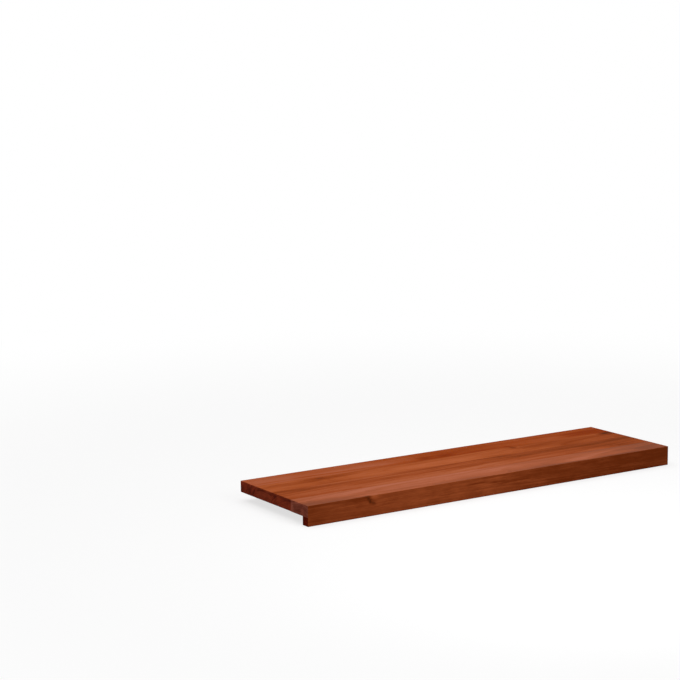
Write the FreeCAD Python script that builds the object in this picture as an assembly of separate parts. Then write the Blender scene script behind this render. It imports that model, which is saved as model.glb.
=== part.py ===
"""Stair tread: a board edge-glued from staves, with a square nosing strip glued under its front edge.

Millimetres. X runs along the tread, Y from the nosing to the back edge, Z up.
The origin is at the centre of the tread's footprint, level with the foot of the nosing.
"""

import os
from itertools import accumulate

import FreeCAD
import Part

# Driving dimensions
TREAD_LENGTH = 1066.8  # 42 in, end to end
TREAD_DEPTH = 292.1  # 11 1/2 in, nosing face to back edge
BOARD_THICKNESS = 27.0  # 1 1/16 in
NOSING_THICKNESS = 22.2  # 7/8 in, front to back
NOSING_DROP = 20.6  # 13/16 in, below the board's underside
STAVE_WIDTHS = (72.0, 66.0, 83.0)  # from the back edge; the front stave is ripped to what is left
ARRIS_RADIUS = 1.2  # outer edges rounded over by sanding after the glue-up

# Worked out from the driving dimensions
LEFT_END = -TREAD_LENGTH / 2
FRONT = -TREAD_DEPTH / 2
BACK = FRONT + TREAD_DEPTH
NOSING_BACK = FRONT + NOSING_THICKNESS
FOOT = 0.0
UNDERSIDE = FOOT + NOSING_DROP
TOP = UNDERSIDE + BOARD_THICKNESS
GLUE_LINES = [BACK - reach for reach in accumulate(STAVE_WIDTHS)]


def tread_section():
    """The L-shaped cross-section, drawn at the left end."""
    outline = [
        (FRONT, FOOT),
        (NOSING_BACK, FOOT),
        (NOSING_BACK, UNDERSIDE),
        (BACK, UNDERSIDE),
        (BACK, TOP),
        (FRONT, TOP),
    ]
    corners = [FreeCAD.Vector(LEFT_END, y, z) for y, z in outline]
    return Part.Face(Part.makePolygon(corners + corners[:1]))


def is_inner_corner(edge):
    """True for the long edge where the nosing's back meets the board's underside."""
    inner_corner = FreeCAD.Vector(0, NOSING_BACK, UNDERSIDE)
    return edge.CenterOfMass.isEqual(inner_corner, edge.Tolerance)


def sanded_tread():
    """The whole tread as glued up, with every outer edge rounded over."""
    blank = tread_section().extrude(FreeCAD.Vector(TREAD_LENGTH, 0, 0))
    outer_edges = [edge for edge in blank.Edges if not is_inner_corner(edge)]
    return blank.makeFillet(ARRIS_RADIUS, outer_edges)


def slice_of(tread, front, back, low, high):
    """The piece of the tread between two depths and two heights."""
    corner = FreeCAD.Vector(LEFT_END, front, low)
    block = Part.makeBox(TREAD_LENGTH, back - front, high - low, corner)
    return tread.common(block).Solids[0]


def tread_pieces():
    """Each piece's name and solid: the staves from back to front, then the nosing strip."""
    tread = sanded_tread()
    edges = [BACK, *GLUE_LINES, FRONT]
    pieces = {}
    for number, (back, front) in enumerate(zip(edges, edges[1:]), start=1):
        pieces[f"stave_{number}"] = slice_of(tread, front, back, UNDERSIDE, TOP)
    pieces["nosing_strip"] = slice_of(tread, FRONT, NOSING_BACK, FOOT, UNDERSIDE)
    return pieces


os.makedirs("parts", exist_ok=True)
for name, solid in tread_pieces().items():
    solid.exportStep(f"parts/{name}.step")
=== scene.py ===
import math

import bpy
import numpy as np
from mathutils import Euler, Matrix, Vector


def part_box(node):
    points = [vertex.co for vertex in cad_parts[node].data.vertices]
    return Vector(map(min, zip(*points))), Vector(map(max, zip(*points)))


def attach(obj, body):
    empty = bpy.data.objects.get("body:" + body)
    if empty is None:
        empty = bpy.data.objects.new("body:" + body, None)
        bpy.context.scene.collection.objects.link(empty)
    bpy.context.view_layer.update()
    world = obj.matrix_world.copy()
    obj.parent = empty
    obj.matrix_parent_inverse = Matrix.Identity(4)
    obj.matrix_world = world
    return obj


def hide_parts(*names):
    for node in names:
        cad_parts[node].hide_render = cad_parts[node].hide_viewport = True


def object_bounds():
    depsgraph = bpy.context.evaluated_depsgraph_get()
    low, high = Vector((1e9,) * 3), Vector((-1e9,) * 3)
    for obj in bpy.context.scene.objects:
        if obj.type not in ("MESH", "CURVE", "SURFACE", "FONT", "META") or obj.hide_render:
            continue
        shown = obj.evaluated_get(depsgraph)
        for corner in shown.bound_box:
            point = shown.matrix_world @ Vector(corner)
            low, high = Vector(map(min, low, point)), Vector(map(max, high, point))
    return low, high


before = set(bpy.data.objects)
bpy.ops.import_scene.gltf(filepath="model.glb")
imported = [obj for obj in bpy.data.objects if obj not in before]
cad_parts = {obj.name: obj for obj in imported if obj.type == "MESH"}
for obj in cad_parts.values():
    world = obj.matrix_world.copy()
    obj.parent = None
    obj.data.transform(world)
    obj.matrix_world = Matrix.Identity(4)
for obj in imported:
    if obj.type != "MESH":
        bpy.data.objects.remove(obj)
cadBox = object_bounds()
print("frame loaded:", ", ".join(sorted(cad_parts)))

mm = 0.001  # sizes and patterns are written in millimetres, and the scene is in metres
leftEnd, back, top = cadBox[0][0] / mm, cadBox[1][1] / mm, cadBox[1][2] / mm  # mm
noiseMiddle = 0.5  # what every noise swings about
rampMiddle = 0.5  # where the middle colour sits on a colour ramp
mixShare, mixFirst, mixSecond, mixOut = 0, 6, 7, 2  # sockets of a Mix node that is set to colour


def linear(hexCode):
    # an sRGB hex colour as linear RGBA, by the standard's own curve
    channels = [int(hexCode[i:i + 2], 16) / 255 for i in (1, 3, 5)]
    return [c / 12.92 if c <= 0.04045 else ((c + 0.055) / 1.055) ** 2.4 for c in channels] + [1.0]


def addNode(tree, kind, inputs=(), out=0, **settings):
    # inputs is a list in socket order or a dictionary by name or number; out picks what comes back
    node = tree.nodes.new(kind)
    for name, value in settings.items():
        setattr(node, name, value)
    for key, value in (inputs.items() if isinstance(inputs, dict) else enumerate(inputs)):
        if isinstance(value, bpy.types.NodeSocket):
            tree.links.new(value, node.inputs[key])
        else:
            node.inputs[key].default_value = value
    return node if out is None else node.outputs[out]


# the sanded blank that every stave and the nosing strip is made from
blank = {
    "arrisRadius": 1.2,  # mm, outer edges rounded over by sanding
    "arrisWaver": 0.3,  # share of that radius that a hand-held sander leaves uneven
    "waverLength": 62.5,  # mm along an edge, the size of the uneven places
    "arrisRows": 4,  # rows of faces round an edge
    "arrisZone": 1.5,  # how far in from the edge those rows reach, in radii
    "cell": (6.0, 3.0, 3.0),  # mm, largest face along, across and through the stave
    "relief": 0.05,  # mm, grain that stands up under the lacquer
    "fibre": (45.0, 1.6, 1.6),  # mm, length and width of a raised fibre
    "crease": 40.0,  # degrees between two faces, past which their edge stays sharp
}


def sandedBlankTree():
    tree = bpy.data.node_groups.new("sandedBlank", "GeometryNodeTree")
    kinds = {
        "Low Corner": "Vector", "High Corner": "Vector", "Free Low": "Vector", "Free High": "Vector",
        "Arris Radius": "Float", "Arris Waver": "Float", "Arris Rows": "Float", "Cell": "Vector",
        "Relief": "Float", "Fibre": "Vector", "Seed": "Float", "Finish": "Material",
    }
    for name, kind in kinds.items():
        tree.interface.new_socket(name=name, in_out="INPUT", socket_type="NodeSocket" + kind)
    tree.interface.new_socket(name="Geometry", in_out="OUTPUT", socket_type="NodeSocketGeometry")
    given = addNode(tree, "NodeGroupInput", out=None).outputs
    low, high, rows = given["Low Corner"], given["High Corner"], given["Arris Rows"]
    size = addNode(tree, "ShaderNodeVectorMath", [high, low], operation="SUBTRACT")
    zone = addNode(tree, "ShaderNodeMath", [given["Arris Radius"], blank["arrisZone"]],
                   operation="MULTIPLY")

    # a box of faces, finer in a narrow zone along every edge
    spans = addNode(tree, "ShaderNodeSeparateXYZ", [size], out=None).outputs
    cells = addNode(tree, "ShaderNodeSeparateXYZ", [given["Cell"]], out=None).outputs
    lows = addNode(tree, "ShaderNodeSeparateXYZ", [low], out=None).outputs
    unitBox = addNode(tree, "GeometryNodeMeshCube", {"Size": (1, 1, 1)}, out=None)
    position = addNode(tree, "GeometryNodeInputPosition")
    unitPlace = addNode(tree, "ShaderNodeSeparateXYZ", [position], out=None).outputs
    bothZones = addNode(tree, "ShaderNodeMath", [zone, 2.0], operation="MULTIPLY")
    bothRows = addNode(tree, "ShaderNodeMath", [rows, 2.0], operation="MULTIPLY")
    places = []
    for axis, letter in enumerate("XYZ"):
        wide = addNode(tree, "ShaderNodeMath", [spans[axis], cells[axis]], operation="DIVIDE")
        middleRows = addNode(tree, "ShaderNodeMath", [wide], operation="CEIL")
        allRows = addNode(tree, "ShaderNodeMath", [middleRows, bothRows], operation="ADD")
        corners = addNode(tree, "ShaderNodeMath", [allRows, 1.0], operation="ADD")
        tree.links.new(corners, unitBox.inputs["Vertices " + letter])
        # the unit box is centred, so half a unit more counts from its low side
        share = addNode(tree, "ShaderNodeMath", [unitPlace[axis], 0.5], operation="ADD")
        row = addNode(tree, "ShaderNodeMath", [share, allRows], operation="MULTIPLY")
        lastRow = addNode(tree, "ShaderNodeMath", [middleRows, rows], operation="ADD")
        middle = addNode(tree, "ShaderNodeMath", [spans[axis], bothZones], operation="SUBTRACT")
        place = lows[axis]
        for first, last, width in ((0.0, rows, zone), (rows, lastRow, middle), (lastRow, allRows, zone)):
            step = addNode(tree, "ShaderNodeMapRange", [row, first, last, 0.0, width])
            place = addNode(tree, "ShaderNodeMath", [place, step], operation="ADD")
        places.append(place)
    square = addNode(tree, "ShaderNodeCombineXYZ", places)
    blankBox = addNode(tree, "GeometryNodeSetPosition",
                       {"Geometry": unitBox.outputs["Mesh"], "Position": square})

    # round the edges between free sides: pull each point onto a ball rolled inside the box, which has
    # a metre to spare past a glued side, so that side stays square
    spare = 1.0
    perMetre = 1 / (blank["waverLength"] * mm)
    along = addNode(tree, "ShaderNodeVectorMath", [position, (perMetre, 0, 0)], operation="MULTIPLY")
    uneven = addNode(tree, "ShaderNodeTexNoise", {"Vector": along, "W": given["Seed"], "Scale": 1.0},
                     noise_dimensions="4D")
    swing = addNode(tree, "ShaderNodeMath", [uneven, noiseMiddle], operation="SUBTRACT")
    waver = addNode(tree, "ShaderNodeMath", [swing, given["Arris Waver"], 1.0], operation="MULTIPLY_ADD")
    radius = addNode(tree, "ShaderNodeMath", [given["Arris Radius"], waver], operation="MULTIPLY")
    reach = addNode(tree, "ShaderNodeMath", [radius, spare], operation="ADD")
    lowReach = addNode(tree, "ShaderNodeVectorMath", {0: given["Free Low"], "Scale": reach},
                       operation="SCALE")
    highReach = addNode(tree, "ShaderNodeVectorMath", {0: given["Free High"], "Scale": reach},
                        operation="SCALE")
    farLow = addNode(tree, "ShaderNodeVectorMath", [low, [spare] * 3], operation="SUBTRACT")
    farHigh = addNode(tree, "ShaderNodeVectorMath", [high, [spare] * 3], operation="ADD")
    innerLow = addNode(tree, "ShaderNodeVectorMath", [farLow, lowReach], operation="ADD")
    innerHigh = addNode(tree, "ShaderNodeVectorMath", [farHigh, highReach], operation="SUBTRACT")
    notLower = addNode(tree, "ShaderNodeVectorMath", [position, innerLow], operation="MAXIMUM")
    inside = addNode(tree, "ShaderNodeVectorMath", [notLower, innerHigh], operation="MINIMUM")
    outward = addNode(tree, "ShaderNodeVectorMath", [position, inside], operation="SUBTRACT")
    facing = addNode(tree, "ShaderNodeVectorMath", [outward], operation="NORMALIZE")
    distance = addNode(tree, "ShaderNodeVectorMath", [outward], out="Value", operation="LENGTH")
    ball = addNode(tree, "ShaderNodeVectorMath", {0: facing, "Scale": radius}, operation="SCALE")
    rounded = addNode(tree, "ShaderNodeVectorMath", [inside, ball], operation="ADD")
    reachShare = addNode(tree, "ShaderNodeMath", [distance, radius], operation="DIVIDE")
    freeFace = addNode(tree, "ShaderNodeMath", [reachShare, 1.0], operation="MINIMUM")

    # kept for the finish: 0 on a flat side and 1 half-way round an edge
    arris = addNode(tree, "ShaderNodeMapRange", [reachShare, 1.0, math.sqrt(2), 0.0, 1.0])
    marked = addNode(tree, "GeometryNodeStoreNamedAttribute",
                     {"Geometry": blankBox, "Name": "arris", "Value": arris},
                     data_type="FLOAT", domain="POINT")

    # raised grain, always inwards from the true face, and none on the glued faces
    strands = addNode(tree, "ShaderNodeVectorMath", [position, given["Fibre"]], operation="DIVIDE")
    grain = addNode(tree, "ShaderNodeTexNoise",
                    {"Vector": strands, "W": given["Seed"], "Scale": 1.0, "Detail": 2.0},
                    noise_dimensions="4D")
    sunk = addNode(tree, "ShaderNodeMath", [grain, given["Relief"]], operation="MULTIPLY")
    depth = addNode(tree, "ShaderNodeMath", [sunk, freeFace], operation="MULTIPLY")
    inwards = addNode(tree, "ShaderNodeMath", [depth, -1.0], operation="MULTIPLY")
    lowered = addNode(tree, "ShaderNodeVectorMath", {0: facing, "Scale": inwards}, operation="SCALE")
    sandedPlace = addNode(tree, "ShaderNodeVectorMath", [rounded, lowered], operation="ADD")
    sanded = addNode(tree, "GeometryNodeSetPosition", {"Geometry": marked, "Position": sandedPlace})

    angle = addNode(tree, "GeometryNodeInputMeshEdgeAngle")
    sharp = addNode(tree, "FunctionNodeCompare", {"A": angle, "B": math.radians(blank["crease"])},
                    operation="GREATER_THAN")
    smooth = addNode(tree, "GeometryNodeSetShadeSmooth", {"Geometry": sanded, "Shade Smooth": True})
    creased = addNode(tree, "GeometryNodeSetShadeSmooth",
                      {"Geometry": smooth, "Selection": sharp, "Shade Smooth": False}, domain="EDGE")
    realized = addNode(tree, "GeometryNodeRealizeInstances", [creased])
    finished = addNode(tree, "GeometryNodeSetMaterial",
                       {"Geometry": realized, "Material": given["Finish"]})
    addNode(tree, "NodeGroupOutput", [finished], out=None)
    return tree


# marks on the wood. at: mm along from the left end, forward from the back edge and down from the top;
# half: half sizes in mm; dark: how much they darken, or lighten if negative; core: how dark the middle
# of a knot is; swing: mm by which the grain swings round them

# tones that the front stave and the nosing strip under it share on their flush faces: a painted pool of
# light in front of the soft box on top of its real light, painted shade where that light falls off
# towards the right end, and a slightly darker stretch at the left end
frontTonesAndPaintedLight = [
    # lighter stretch straight in front of the soft box: painted light
    {"at": (360, 292, 24), "half": (230, 8, 60), "dark": -0.2},
    # darker towards the right end: painted shade where the soft box's light falls off
    {"at": (930, 292, 24), "half": (330, 8, 60), "dark": 0.35},
    {"at": (10, 292, 24), "half": (50, 8, 60), "dark": 0.12},
]

# freeLow: 1 for the left, front and lower sides that stay free after the glue-up, freeHigh: the same for
# the right, back and upper ones; pith: mm back and up from the origin to the heart of the tree that the
# piece was sawn from, and lean: its drift for each mm along; bandWidth: mm between bands of colour
pieces = {
    "stave_1": {
        "freeLow": (1, 0, 1), "freeHigh": (1, 1, 1), "seed": 3.1,
        "pith": (12.0, -46.0), "lean": (0.010, -0.022), "bandWidth": 7.5,
        "pale": "#AE5F40", "mid": "#A0481B", "deep": "#8A3202",
        "endPale": "#963A24", "endDeep": "#562015",
        "marks": [
            {"at": (210, 38, 0), "half": (300, 40, 60), "dark": -0.32},
            {"at": (50, 30, 0), "half": (70, 40, 60), "dark": -0.2},
            {"at": (590, 48, 0), "half": (170, 34, 60), "dark": 0.15},
            {"at": (520, 52, 0), "half": (80, 22, 60), "dark": 0.22},
            {"at": (488, 55, 0), "half": (26, 14, 60), "dark": 0.34, "core": 0.1, "swing": 2.0},
            {"at": (550, 58, 0), "half": (26, 9, 60), "dark": 0.45, "core": 0.12, "swing": 1.5},
            {"at": (640, 55, 0), "half": (100, 18, 60), "dark": 0.15},
            {"at": (733, 67, 0), "half": (11, 9, 60), "dark": 0.3},
            {"at": (975, 45, 0), "half": (60, 20, 60), "dark": 0.3, "swing": 1.5},
            {"at": (1050, 60, 0), "half": (110, 34, 60), "dark": 0.42},
            {"at": (1046, 72, 0), "half": (30, 9, 60), "dark": 0.3},
        ],
    },
    "stave_2": {
        "freeLow": (1, 0, 1), "freeHigh": (1, 0, 1), "seed": 7.4,
        "pith": (26.0, -58.0), "lean": (-0.012, 0.026), "bandWidth": 8.5,
        "pale": "#B56038", "mid": "#A65127", "deep": "#8B3B10",
        "endPale": "#9E432A", "endDeep": "#622214",
        "marks": [
            {"at": (142, 85, 0), "half": (38, 19, 60), "dark": 0.36, "swing": 3.0},
            {"at": (163, 86, 0), "half": (18, 12, 60), "dark": 0.2, "core": 0.3},
            {"at": (200, 89, 0), "half": (66, 14, 60), "dark": 0.3},
            {"at": (330, 78, 0), "half": (90, 10, 60), "dark": -0.15},
            {"at": (737, 80, 0), "half": (12, 16, 60), "dark": 0.4, "core": 0.2, "swing": 3.0},
            {"at": (760, 104, 0), "half": (45, 6, 60), "dark": 0.15},
            {"at": (800, 86, 0), "half": (80, 18, 60), "dark": 0.35},
            {"at": (1048, 82, 0), "half": (30, 20, 60), "dark": 0.8, "core": 0.8, "swing": 3.0},
            {"at": (430, 120, 0), "half": (270, 22, 60), "dark": -0.35},
            {"at": (960, 110, 0), "half": (170, 40, 60), "dark": 0.25},
        ],
    },
    "stave_3": {
        "freeLow": (1, 0, 1), "freeHigh": (1, 0, 1), "seed": 12.8,
        "pith": (-70.0, -52.0), "lean": (0.014, 0.018), "bandWidth": 9.0,
        "pale": "#AF613E", "mid": "#9D4921", "deep": "#77320B",
        "endPale": "#9A3D24", "endDeep": "#5F2118",
        "marks": [
            {"at": (60, 152, 0), "half": (120, 9, 60), "dark": 0.42},
            {"at": (300, 156, 0), "half": (110, 12, 60), "dark": -0.26},
            {"at": (360, 176, 0), "half": (150, 8, 60), "dark": 0.18},
            {"at": (560, 160, 0), "half": (100, 10, 60), "dark": 0.1},
            {"at": (700, 158, 0), "half": (110, 15, 60), "dark": 0.25},
            {"at": (860, 157, 0), "half": (120, 19, 60), "dark": 0.27},
            {"at": (1020, 157, 0), "half": (120, 20, 60), "dark": 0.3},
            {"at": (187, 214, 0), "half": (8, 3, 10), "dark": 0.25},
            # pale stretches next to the front joint: the front stave's painted sheen running a little
            # onto this stave
            {"at": (380, 206, 0), "half": (300, 20, 60), "dark": -0.38},
            {"at": (740, 212, 0), "half": (190, 16, 60), "dark": -0.28},
            {"at": (1010, 205, 0), "half": (120, 30, 60), "dark": 0.25},
            {"at": (0, 218, 17), "half": (12, 8, 7), "dark": -2.0},
        ],
    },
    "stave_4": {
        "freeLow": (1, 1, 0), "freeHigh": (1, 0, 1), "seed": 21.5,
        "pith": (-118.0, -64.0), "lean": (-0.008, 0.020), "bandWidth": 9.5,
        # paler and pinker on its top than the other staves: a painted sheen of the lacquer over the same
        # wood
        "pale": "#B56A4F", "mid": "#A65939", "deep": "#854932",
        "endPale": "#AA5C48", "endDeep": "#703224",
        "marks": frontTonesAndPaintedLight + [
            # pale stretches on the front stave's top: painted sheen of the lacquer
            {"at": (310, 244, 0), "half": (360, 24, 12), "dark": -0.25},
            {"at": (780, 248, 0), "half": (330, 24, 12), "dark": -0.1},
            {"at": (560, 290, 0), "half": (560, 12, 6), "dark": 0.15},
            # these two make the painted sheen fainter next to the joint and at the left front corner
            {"at": (450, 222, 0), "half": (900, 12, 12), "dark": 0.08},
            {"at": (45, 276, 0), "half": (125, 26, 9), "dark": 0.44},
            {"at": (190, 251, 0), "half": (14, 3.5, 10), "dark": 0.3, "swing": 1.0},
            {"at": (388, 270, 0), "half": (5, 3, 10), "dark": 0.3, "core": 0.15},
            {"at": (1010, 250, 0), "half": (100, 45, 60), "dark": 0.38},
            {"at": (0, 226, 17), "half": (12, 10, 7), "dark": -1.8},
            {"at": (138, 292, 7), "half": (34, 6, 11), "dark": 0.42},
            {"at": (158, 292, 3), "half": (11, 5, 6), "dark": 0.4, "core": 0.25},
            {"at": (161, 292, 9), "half": (6, 5, 6), "dark": 0.45, "core": 0.5},
            {"at": (166, 292, 15), "half": (6, 5, 6), "dark": 0.45, "core": 0.6},
            {"at": (174, 292, 19), "half": (9, 5, 6), "dark": 0.42, "core": 0.4},
            {"at": (178, 292, 7), "half": (9, 5, 7), "dark": -0.3, "swing": 2.0},
            {"at": (468, 292, 15), "half": (26, 6, 2.6), "dark": 0.5},
            {"at": (520, 292, 19), "half": (34, 6, 2.8), "dark": 0.55},
            {"at": (580, 292, 23), "half": (48, 6, 3.2), "dark": 0.55},
        ],
    },
    "nosing_strip": {
        "freeLow": (1, 1, 1), "freeHigh": (1, 1, 0), "seed": 30.2,
        "pith": (-160.0, 70.0), "lean": (0.006, -0.015), "bandWidth": 7.0,
        "pale": "#A6532C", "mid": "#984520", "deep": "#7A3210",
        "endPale": "#7F230F", "endDeep": "#531408",
        "marks": frontTonesAndPaintedLight + [
            {"at": (300, 292, 38), "half": (60, 8, 4), "dark": 0.12},
            {"at": (760, 292, 40), "half": (120, 8, 4), "dark": 0.15},
        ],
    },
}

# the stained and lacquered wood that all the pieces share
finish = {
    "wander": (420.0, 70.0, 70.0), "wanderBy": (0.0, 7.0, 7.0),  # mm, slow bends of the grain
    "fibre": (120.0, 3.6, 3.6),  # mm, drawn several times as coarse as it is, so that it shows
    "fleck": (15.0, 1.3, 1.3),  # mm, open pores cut lengthwise, drawn coarse enough to show
    "fleckRange": (0.58, 0.72),  # levels of the noise between which a fleck comes up
    "cloud": (150.0, 26.0, 26.0),  # mm, uneven take-up of the stain
    "blotch": (40.0, 14.0, 14.0),  # mm, patches of stain on the edges
    "ringWidth": 3.4,  # mm, one year's growth
    "ringWander": 1.5,  # years by which uneven growth moves a ring
    "lateWood": 3.0,  # higher is a thinner dark line in each ring
    "pore": 0.9,  # mm, end-grain pores, drawn coarse enough to show
    "poreFade": (0.1, 0.45), "poreDark": 0.35,  # pore sizes out from its middle, and its darkness
    "markFade": (0.2, 1.5), "coreFade": (0.25, 0.85),  # mark sizes out from its middle
    "swingReach": 3.0,  # mark sizes out, where the grain runs straight again
    "fray": 1.8,  # how far the fibre draws out a mark's outline, in mark sizes
    # added to the seed, so that no two patterns are alike
    "frayShift": 2.0, "cloudShift": 5.0, "fleckShift": 9.0, "blotchShift": 13.0,
    # how strongly each pattern darkens the wood
    "bandContrast": 1.05, "fibreContrast": 0.76, "cloudContrast": 0.8,
    "ringContrast": 0.18, "fleckContrast": 0.24, "blotchContrast": 1.05,
    "edgeFacing": (0.55, 0.95), "endFacing": (0.45, 0.9),  # how far a face turns to become edge or end
    "edgeCalm": 0.65,  # share of the bands and clouds that still shows on the edges
    "edgePale": "#B4592F", "edgeMid": "#994722", "edgeDeep": "#803513",
    "endDark": 0.29,  # darkness of plain end grain, between its pale and its deep colour
    "endRings": 0.5, "endBands": 1.7, "endClouds": 2.4, "endMarks": 0.3,  # contrasts on top of it
    "knot": "#3A1A0A",
    "worn": "#A8602F", "wornShare": 0.12,  # how far rounded edges go over to thinner stain
    "roughness": 0.46, "roughSpread": 0.12, "endRougher": 0.16,  # spread by the fibre, more on the ends
    "ior": 1.5,
    "specular": 0.0015,  # below a lacquer's, as at a flat angle the white round it washes out the stain
    "bumpDepth": 0.05, "bumpStrength": 0.6,  # mm, and a share of it
}


def woodMarks(tree, marks, grainPlace, fray):
    # knots, gum streaks and pale stretches, their outlines drawn out along the fibre
    shade, core, swirl = 0.0, 0.0, 0.0
    for mark in marks:
        along, fromBack, down = mark["at"]
        centre = (leftEnd + along, back - fromBack, top - down)
        away = addNode(tree, "ShaderNodeVectorMath", [grainPlace, centre], operation="SUBTRACT")
        perHalf = [1 / h for h in mark["half"]]
        scaled = addNode(tree, "ShaderNodeVectorMath", [away, perHalf, fray], operation="MULTIPLY_ADD")
        reach = addNode(tree, "ShaderNodeVectorMath", [scaled], out="Value", operation="LENGTH")
        tone = addNode(tree, "ShaderNodeMapRange", [reach, *finish["markFade"], mark["dark"], 0.0],
                       interpolation_type="SMOOTHSTEP")
        shade = addNode(tree, "ShaderNodeMath", [shade, tone], operation="ADD")
        if "swing" in mark:
            push = addNode(tree, "ShaderNodeMapRange",
                           [reach, 0.0, finish["swingReach"], mark["swing"], 0.0],
                           interpolation_type="SMOOTHSTEP")
            swirl = addNode(tree, "ShaderNodeMath", [swirl, push], operation="ADD")
        if "core" in mark:
            heart = addNode(tree, "ShaderNodeMapRange", [reach, *finish["coreFade"], mark["core"], 0.0],
                            interpolation_type="SMOOTHSTEP")
            core = addNode(tree, "ShaderNodeMath", [core, heart], operation="MAXIMUM")
    return shade, core, swirl


def growthRings(tree, piece, grainPlace, swirl):
    # distance from the pith, so that faces show bands and ends show arcs of the same rings
    xyz = addNode(tree, "ShaderNodeSeparateXYZ", [grainPlace], out=None).outputs
    offsets = []
    for axis, start, lean in zip("YZ", piece["pith"], piece["lean"]):
        line = addNode(tree, "ShaderNodeMath", [xyz["X"], lean, start], operation="MULTIPLY_ADD")
        offsets.append(addNode(tree, "ShaderNodeMath", [xyz[axis], line], operation="SUBTRACT"))
    flat = addNode(tree, "ShaderNodeCombineXYZ", [0.0, *offsets])
    radius = addNode(tree, "ShaderNodeVectorMath", [flat], out="Value", operation="LENGTH")
    grown = addNode(tree, "ShaderNodeMath", [radius, swirl], operation="ADD")
    bandPlace = addNode(tree, "ShaderNodeMath", [grown, piece["bandWidth"]], operation="DIVIDE")
    bands = addNode(tree, "ShaderNodeTexNoise",
                    {"W": bandPlace, "Scale": 1.0, "Detail": 2.5, "Roughness": 0.75},
                    noise_dimensions="1D")
    evenYear = addNode(tree, "ShaderNodeMath", [grown, finish["ringWidth"]], operation="DIVIDE")
    year = addNode(tree, "ShaderNodeMath", [bands, finish["ringWander"], evenYear],
                   operation="MULTIPLY_ADD")
    season = addNode(tree, "ShaderNodeMath", [year], operation="FRACT")
    lateWood = addNode(tree, "ShaderNodeMath", [season, finish["lateWood"]], operation="POWER")
    return bands, lateWood


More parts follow.
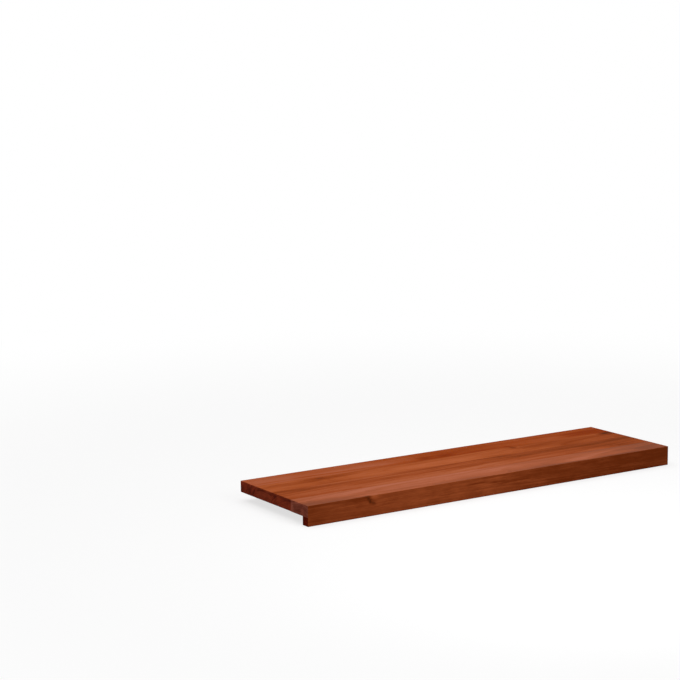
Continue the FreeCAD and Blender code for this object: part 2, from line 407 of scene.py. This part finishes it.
def lacqueredCherry(name, piece):
    # cherry, planed, sanded, stained red-brown and lacquered: soft bands along the grain, fine fibre,
    # small dark knots, hardly any sheen, and darker, duller end grain with the growth rings showing
    material = bpy.data.materials.new("lacqueredCherry_" + name)
    material.use_nodes = True
    tree = material.node_tree
    tree.nodes.clear()
    seed = piece["seed"]
    coords = addNode(tree, "ShaderNodeTexCoord", out=None).outputs
    here = addNode(tree, "ShaderNodeVectorMath", [coords["Object"], [1 / mm] * 3], operation="MULTIPLY")

    # the grain bends slowly, and its fibre, marks and rings bend with it
    slow = addNode(tree, "ShaderNodeVectorMath", [here, finish["wander"]], operation="DIVIDE")
    drift = addNode(tree, "ShaderNodeTexNoise", {"Vector": slow, "W": seed, "Scale": 1.0, "Detail": 1.0},
                    out="Color", noise_dimensions="4D")
    swing = addNode(tree, "ShaderNodeVectorMath", [drift, [noiseMiddle] * 3], operation="SUBTRACT")
    fullSwing = [2 * w for w in finish["wanderBy"]]  # the noise swings by half a unit each way
    bend = addNode(tree, "ShaderNodeVectorMath", [swing, fullSwing], operation="MULTIPLY")
    grainPlace = addNode(tree, "ShaderNodeVectorMath", [here, bend], operation="ADD")
    strands = addNode(tree, "ShaderNodeVectorMath", [grainPlace, finish["fibre"]], operation="DIVIDE")
    fibre = addNode(tree, "ShaderNodeTexNoise",
                    {"Vector": strands, "W": seed, "Scale": 1.0, "Detail": 4.0, "Roughness": 0.6},
                    noise_dimensions="4D")
    pulled = addNode(tree, "ShaderNodeTexNoise",
                     {"Vector": strands, "W": seed + finish["frayShift"], "Scale": 1.0, "Detail": 2.0},
                     out="Color", noise_dimensions="4D")
    evenPull = addNode(tree, "ShaderNodeVectorMath", [pulled, [noiseMiddle] * 3], operation="SUBTRACT")
    fray = addNode(tree, "ShaderNodeVectorMath", {0: evenPull, "Scale": finish["fray"]},
                   operation="SCALE")
    shade, core, swirl = woodMarks(tree, piece["marks"], grainPlace, fray)
    bands, lateWood = growthRings(tree, piece, grainPlace, swirl)

    # open pores, and stain that the wood took up unevenly
    dashes = addNode(tree, "ShaderNodeVectorMath", [grainPlace, finish["fleck"]], operation="DIVIDE")
    specks = addNode(tree, "ShaderNodeTexNoise",
                     {"Vector": dashes, "W": seed + finish["fleckShift"], "Scale": 1.0, "Detail": 1.0},
                     noise_dimensions="4D")
    flecks = addNode(tree, "ShaderNodeMapRange", [specks, *finish["fleckRange"], 0.0, 1.0])
    patch = addNode(tree, "ShaderNodeVectorMath", [grainPlace, finish["cloud"]], operation="DIVIDE")
    cloud = addNode(tree, "ShaderNodeTexNoise",
                    {"Vector": patch, "W": seed + finish["cloudShift"], "Scale": 1.0, "Detail": 2.0},
                    noise_dimensions="4D")
    stain = addNode(tree, "ShaderNodeVectorMath", [here, finish["blotch"]], operation="DIVIDE")
    blotch = addNode(tree, "ShaderNodeTexNoise",
                     {"Vector": stain, "W": seed + finish["blotchShift"], "Scale": 1.0, "Detail": 2.0},
                     noise_dimensions="4D")

    # the front and back edges share one tone, and are blotchier and less banded than the flat sides
    normal = addNode(tree, "ShaderNodeSeparateXYZ", [coords["Normal"]], out=None).outputs
    edgeOn = addNode(tree, "ShaderNodeMath", [normal["Y"]], operation="ABSOLUTE")
    edgeMask = addNode(tree, "ShaderNodeMapRange", [edgeOn, *finish["edgeFacing"], 0.0, 1.0])
    calm = addNode(tree, "ShaderNodeMapRange", [edgeMask, 0.0, 1.0, 1.0, finish["edgeCalm"]])
    banded = addNode(tree, "ShaderNodeMath", [bands, noiseMiddle], operation="SUBTRACT")
    bandTone = addNode(tree, "ShaderNodeMath", [banded, calm], operation="MULTIPLY")
    fibreTone = addNode(tree, "ShaderNodeMath", [fibre, noiseMiddle], operation="SUBTRACT")
    clouded = addNode(tree, "ShaderNodeMath", [cloud, noiseMiddle], operation="SUBTRACT")
    cloudTone = addNode(tree, "ShaderNodeMath", [clouded, calm], operation="MULTIPLY")
    blotched = addNode(tree, "ShaderNodeMath", [blotch, noiseMiddle], operation="SUBTRACT")
    blotchTone = addNode(tree, "ShaderNodeMath", [blotched, edgeMask], operation="MULTIPLY")
    darkness = addNode(tree, "ShaderNodeMath", [shade, rampMiddle], operation="ADD")
    tones = {"band": bandTone, "fibre": fibreTone, "cloud": cloudTone, "ring": lateWood,
             "fleck": flecks, "blotch": blotchTone}
    for kind, tone in tones.items():
        darkness = addNode(tree, "ShaderNodeMath", [tone, finish[kind + "Contrast"], darkness],
                           operation="MULTIPLY_ADD")
    faceAndEdge = []
    for pale, mid, deep in ((piece["pale"], piece["mid"], piece["deep"]),
                            (finish["edgePale"], finish["edgeMid"], finish["edgeDeep"])):
        ramp = addNode(tree, "ShaderNodeValToRGB", [darkness], out=None)
        ramp.color_ramp.elements[0].color = linear(pale)
        ramp.color_ramp.elements[1].color = linear(deep)
        ramp.color_ramp.elements.new(rampMiddle).color = linear(mid)
        faceAndEdge.append(ramp.outputs["Color"])
    face, edge = faceAndEdge
    sawn = addNode(tree, "ShaderNodeMix", {mixShare: edgeMask, mixFirst: face, mixSecond: edge},
                   out=mixOut, data_type="RGBA")
    longGrain = addNode(tree, "ShaderNodeMix",
                        {mixShare: core, mixFirst: sawn, mixSecond: linear(finish["knot"])},
                        out=mixOut, data_type="RGBA")

    # end grain, with its pores, rings and patches, and a little of the marks
    pores = addNode(tree, "ShaderNodeTexVoronoi", {"Vector": here, "Scale": 1 / finish["pore"]})
    poreTone = addNode(tree, "ShaderNodeMapRange", [pores, *finish["poreFade"], finish["poreDark"], 0.0])
    endTone = addNode(tree, "ShaderNodeMath", [poreTone, finish["endDark"]], operation="ADD")
    endTones = {"endRings": lateWood, "endBands": banded, "endClouds": clouded, "endMarks": shade}
    for contrast, tone in endTones.items():
        endTone = addNode(tree, "ShaderNodeMath", [tone, finish[contrast], endTone],
                          operation="MULTIPLY_ADD")
    endGrain = addNode(tree, "ShaderNodeMix",
                       {mixShare: endTone, mixFirst: linear(piece["endPale"]),
                        mixSecond: linear(piece["endDeep"])},
                       out=mixOut, data_type="RGBA")
    endOn = addNode(tree, "ShaderNodeMath", [normal["X"]], operation="ABSOLUTE")
    endMask = addNode(tree, "ShaderNodeMapRange", [endOn, *finish["endFacing"], 0.0, 1.0])
    wood = addNode(tree, "ShaderNodeMix", {mixShare: endMask, mixFirst: longGrain, mixSecond: endGrain},
                   out=mixOut, data_type="RGBA")

    # stain rubbed a little thinner on the rounded edges
    arris = addNode(tree, "ShaderNodeAttribute", out="Fac", attribute_name="arris")
    rubbed = addNode(tree, "ShaderNodeMath", [arris, finish["wornShare"]], operation="MULTIPLY")
    colour = addNode(tree, "ShaderNodeMix",
                     {mixShare: rubbed, mixFirst: wood, mixSecond: linear(finish["worn"])},
                     out=mixOut, data_type="RGBA")

    smoothest = finish["roughness"] - finish["roughSpread"] / 2
    dull = addNode(tree, "ShaderNodeMath", [fibre, finish["roughSpread"], smoothest],
                   operation="MULTIPLY_ADD")
    roughness = addNode(tree, "ShaderNodeMath", [endMask, finish["endRougher"], dull],
                        operation="MULTIPLY_ADD")
    height = addNode(tree, "ShaderNodeMath", [poreTone, endMask, fibre], operation="MULTIPLY_ADD")
    bump = addNode(tree, "ShaderNodeBump", {
        "Strength": finish["bumpStrength"], "Distance": finish["bumpDepth"] * mm, "Height": height})
    surface = addNode(tree, "ShaderNodeBsdfPrincipled", {
        "Base Color": colour, "Roughness": roughness, "Normal": bump,
        "IOR": finish["ior"], "Specular IOR Level": finish["specular"]})
    addNode(tree, "ShaderNodeOutputMaterial", [surface], out=None)
    return material


# how the sides of a piece are laid out in its square of UV
layout = {
    "endBand": 0.1,  # share of the height that the two ends take
    "gap": 0.004,  # share of the square that stays free round each side
}


def layOutStrips(mesh, low, high):
    # long sides as strips along U, finer across the grain than along it, and the two ends above them
    corners = np.empty(len(mesh.vertices) * 3)
    mesh.vertices.foreach_get("co", corners)
    owner = np.empty(len(mesh.loops), int)
    mesh.loops.foreach_get("vertex_index", owner)
    normals = np.empty(len(mesh.polygons) * 3)
    mesh.polygons.foreach_get("normal", normals)
    counts = np.empty(len(mesh.polygons), int)
    mesh.polygons.foreach_get("loop_total", counts)
    normals = np.repeat(normals.reshape(-1, 3), counts, axis=0)
    share = ((corners.reshape(-1, 3)[owner] - low) / (np.array(high) - low)).clip(0, 1)
    axis = np.abs(normals).argmax(axis=1)
    side = np.take_along_axis(normals, axis[:, None], 1)[:, 0] > 0
    width, thick = high[1] - low[1], high[2] - low[2]
    endBand, gap = layout["endBand"], layout["gap"]
    rowsOfSides = 5  # four long sides and the pair of ends
    room = 1 - endBand - (rowsOfSides + 1) * gap
    uv = np.zeros((len(owner), 2))
    base = gap
    for across, through, extent in ((1, 2, width), (2, 1, thick)):
        tall = room * extent / (2 * width + 2 * thick)
        for upper in (False, True):
            on = (axis == through) & (side == upper)
            u = gap + share[on, 0] * (1 - 2 * gap)
            v = base + share[on, across] * tall
            uv[on] = np.stack([u, v], axis=1)
            base += tall + gap
    for upper in (False, True):
        on = (axis == 0) & (side == upper)
        u = gap + upper / 2 + share[on, 1] * (1 / 2 - 2 * gap)
        v = base + share[on, 2] * endBand
        uv[on] = np.stack([u, v], axis=1)
    mesh.uv_layers.new(name="OFBake").data.foreach_set("uv", uv.ravel())


def makePiece(tree, name, piece):
    low, high = (list(corner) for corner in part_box(name))
    host = bpy.data.objects.new(name + "_blank", bpy.data.meshes.new(name + "_blank"))
    bpy.context.scene.collection.objects.link(host)
    modifier = host.modifiers.new("sandedBlank", "NODES")
    modifier.node_group = tree
    values = {
        "Low Corner": low, "High Corner": high,
        "Free Low": [float(free) for free in piece["freeLow"]],
        "Free High": [float(free) for free in piece["freeHigh"]],
        "Arris Radius": blank["arrisRadius"] * mm, "Arris Waver": blank["arrisWaver"],
        "Arris Rows": float(blank["arrisRows"]), "Cell": [c * mm for c in blank["cell"]],
        "Relief": blank["relief"] * mm, "Fibre": [f * mm for f in blank["fibre"]],
        "Seed": piece["seed"], "Finish": lacqueredCherry(name, piece),
    }
    for item in tree.interface.items_tree:
        if item.in_out == "INPUT":
            modifier[item.identifier] = values[item.name]
    evaluated = host.evaluated_get(bpy.context.evaluated_depsgraph_get())
    mesh = bpy.data.meshes.new_from_object(evaluated)
    bpy.data.objects.remove(host)
    mesh.name = name + "_finished"
    layOutStrips(mesh, low, high)
    made = bpy.data.objects.new(name + "_finished", mesh)
    bpy.context.scene.collection.objects.link(made)
    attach(made, "root")
    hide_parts(name)
    print(name, "finished:", len(mesh.polygons), "faces")


blankTree = sandedBlankTree()
for name, piece in pieces.items():
    makePiece(blankTree, name, piece)


# the white studio
studio = {
    "sunStrength": 0.57, "sunAngle": 70.0,  # degrees across, a wide soft light overhead
    "sunTilt": (8.0, 6.0),  # degrees it leans back and to the left
    "horizonLight": 0.02, "zenithLight": 0.32,  # what the wood sees round it
    "horizonRise": (0.05, 0.8),  # heights between which the one goes over into the other, 1 is overhead
    "lampPlace": (-150, -1000, 650), "lampAim": (-100, -146, 30),  # mm
    "lampSize": 500, "lampPower": 3.85,  # mm and watts, a soft box in front
    "bounce": "#B0B0B0",  # what the floor gives back to the wood
    "floor": "#FCFCFC", "floorLift": 0.7,  # share of the floor that shows as plain white near the tread
    "whiteFrom": 0.8, "whiteAt": 2.6,  # metres out, where that share starts to grow and is the whole
    "floorSize": 60.0,  # metres
}


def backgroundRays(tree):
    # the rays that show the surround as plain white, while the others light the wood
    rays = addNode(tree, "ShaderNodeLightPath", out=None).outputs
    shows = rays["Is Camera Ray"]
    for kind in ("Is Glossy Ray", "Is Transmission Ray"):
        shows = addNode(tree, "ShaderNodeMath", [shows, rays[kind]], operation="MAXIMUM")
    return shows


def makeSurround():
    world = bpy.data.worlds.new("whiteStudio")
    bpy.context.scene.world = world
    world.use_nodes = True
    tree = world.node_tree
    tree.nodes.clear()
    direction = addNode(tree, "ShaderNodeTexCoord", out="Generated")
    upward = addNode(tree, "ShaderNodeSeparateXYZ", [direction], out="Z")
    dim = addNode(tree, "ShaderNodeMapRange",
                  [upward, *studio["horizonRise"], studio["horizonLight"], studio["zenithLight"]],
                  interpolation_type="SMOOTHSTEP")
    strength = addNode(tree, "ShaderNodeMapRange", [backgroundRays(tree), 0.0, 1.0, dim, 1.0])
    surround = addNode(tree, "ShaderNodeBackground", {"Color": (1, 1, 1, 1), "Strength": strength})
    addNode(tree, "ShaderNodeOutputWorld", [surround], out=None)


def makeLights():
    sunData = bpy.data.lights.new("overheadSoftLight", "SUN")
    sunData.energy = studio["sunStrength"] * math.pi  # pi lights a level face at its written colour
    sunData.angle = math.radians(studio["sunAngle"])
    sun = bpy.data.objects.new("overheadSoftLight", sunData)
    leanBack, leanLeft = studio["sunTilt"]
    sun.rotation_euler = Euler([math.radians(-leanBack), math.radians(-leanLeft), 0])
    bpy.context.scene.collection.objects.link(sun)

    lampData = bpy.data.lights.new("frontSoftBox", "AREA")
    lampData.energy = studio["lampPower"]
    lampData.size = studio["lampSize"] * mm
    lamp = bpy.data.objects.new("frontSoftBox", lampData)
    lamp.location = Vector(studio["lampPlace"]) * mm
    beam = Vector(studio["lampAim"]) - Vector(studio["lampPlace"])
    lamp.rotation_euler = beam.to_track_quat("-Z", "Y").to_euler()
    bpy.context.scene.collection.objects.link(lamp)


def whitePaper():
    # seamless studio paper: matt white, with the shadow on it near the tread and plain white further out
    material = bpy.data.materials.new("whitePaperFloor")
    material.use_nodes = True
    tree = material.node_tree
    tree.nodes.clear()
    shows = backgroundRays(tree)
    tone = addNode(tree, "ShaderNodeMix",
                   {mixShare: shows, mixFirst: linear(studio["bounce"]),
                    mixSecond: linear(studio["floor"])},
                   out=mixOut, data_type="RGBA")
    paper = addNode(tree, "ShaderNodeBsdfDiffuse", {"Color": tone})
    white = addNode(tree, "ShaderNodeEmission", {"Color": (1, 1, 1, 1), "Strength": 1.0})
    spot = addNode(tree, "ShaderNodeTexCoord", out="Object")
    away = addNode(tree, "ShaderNodeVectorMath", [spot], out="Value", operation="LENGTH")
    share = addNode(tree, "ShaderNodeMapRange",
                    [away, studio["whiteFrom"], studio["whiteAt"], studio["floorLift"], 1.0],
                    interpolation_type="SMOOTHSTEP")
    lift = addNode(tree, "ShaderNodeMath", [shows, share], operation="MULTIPLY")
    shown = addNode(tree, "ShaderNodeMixShader", [lift, paper, white])
    addNode(tree, "ShaderNodeOutputMaterial", [shown], out=None)
    return material


def makeFloor():
    half = studio["floorSize"] / 2
    corners = [(-half, -half, 0), (half, -half, 0), (half, half, 0), (-half, half, 0)]
    mesh = bpy.data.meshes.new("floor")
    mesh.from_pydata(corners, [], [(0, 1, 2, 3)])
    mesh.materials.append(whitePaper())
    floor = bpy.data.objects.new("floor", mesh)
    bpy.context.scene.collection.objects.link(floor)


makeSurround()
makeLights()
makeFloor()
print("studio ready")


# where the camera stands, in the tread's own frame
shot = {
    "place": (-2609.7, -3447.5, 1034.5),  # mm
    "turn": -33.235, "dip": 9.030, "roll": -0.367,  # degrees it is turned, dipped and rolled
    "lens": 97.01, "sensor": 36.0,  # mm
}


def makeCamera():
    data = bpy.data.cameras.new("camera")
    data.lens = shot["lens"]
    data.sensor_width = shot["sensor"]
    camera = bpy.data.objects.new("camera", data)
    bpy.context.scene.collection.objects.link(camera)
    tilt = 90 - shot["dip"]  # an unturned camera looks straight down
    aim = Euler([math.radians(tilt), 0, math.radians(shot["turn"])]).to_matrix()
    turned = aim @ Matrix.Rotation(math.radians(shot["roll"]), 3, "Z")
    camera.matrix_world = Matrix.Translation(Vector(shot["place"]) * mm) @ turned.to_4x4()
    bpy.context.scene.camera = camera
    bpy.context.scene.view_settings.view_transform = "Standard"
    print("camera set")


makeCamera()
